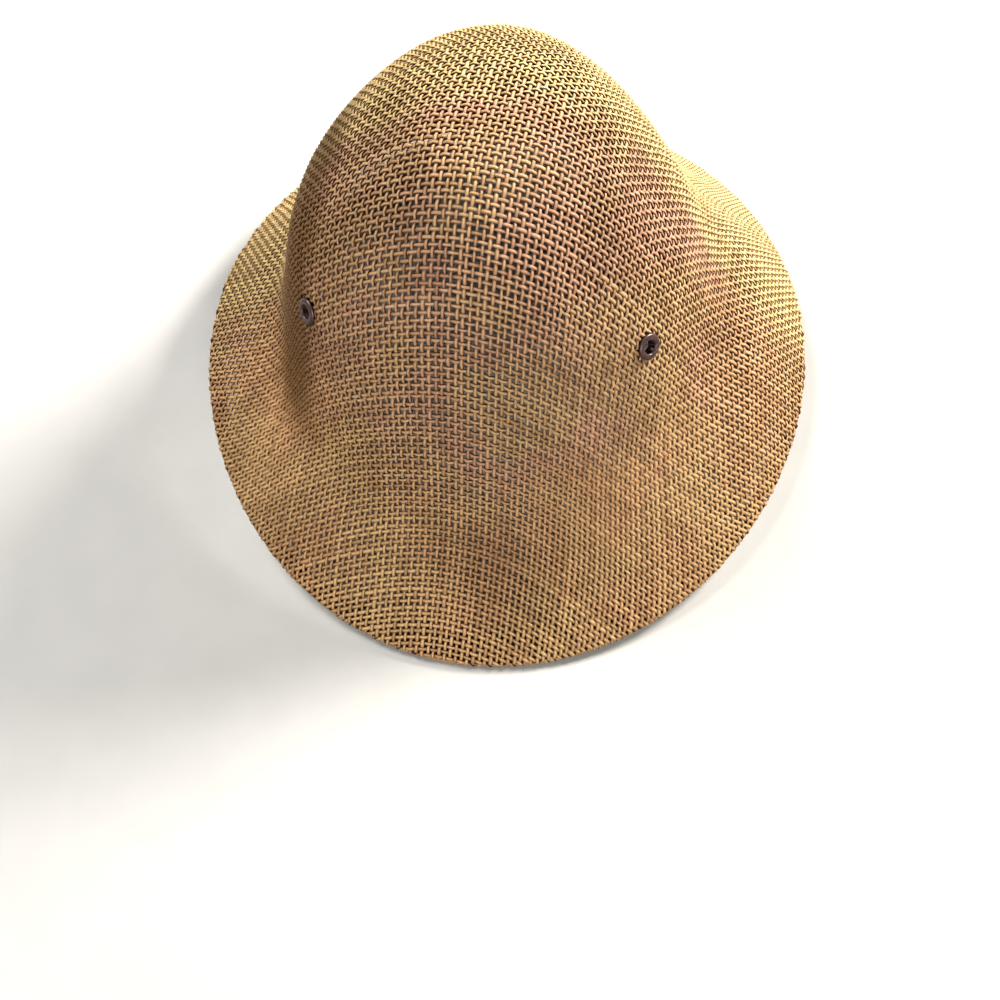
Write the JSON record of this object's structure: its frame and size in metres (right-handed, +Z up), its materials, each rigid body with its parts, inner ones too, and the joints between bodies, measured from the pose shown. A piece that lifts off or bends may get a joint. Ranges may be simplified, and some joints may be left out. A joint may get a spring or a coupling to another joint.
{
  "type": "pith helmet",
  "caption": "Pith helmet moulded from open woven straw mesh: a tall rounded crown that flares into a wide sloping brim, with a folded hem and metal side eyelets.",
  "frame": {"origin": "on the surface that the brim rests on, in the middle of the brim's length and width", "axes": "+Z up through the crown, -Y to the front above the wearer's face, +X to the wearer's left"},
  "size_m": [0.2769, 0.2981, 0.1672],
  "materials": {
    "straw_mesh": "open plain weave of twisted straw-coloured cord, dry and slightly satin",
    "folded_straw": "the same mesh folded under",
    "eyelet_paint": "dark brown satin enamel"
  },
  "bodies": {
    "root": {"shell": "straw_mesh", "brim_hem": "folded_straw", "eyelet_left": "eyelet_paint", "eyelet_right": "eyelet_paint"}
  },
  "joints": []
}
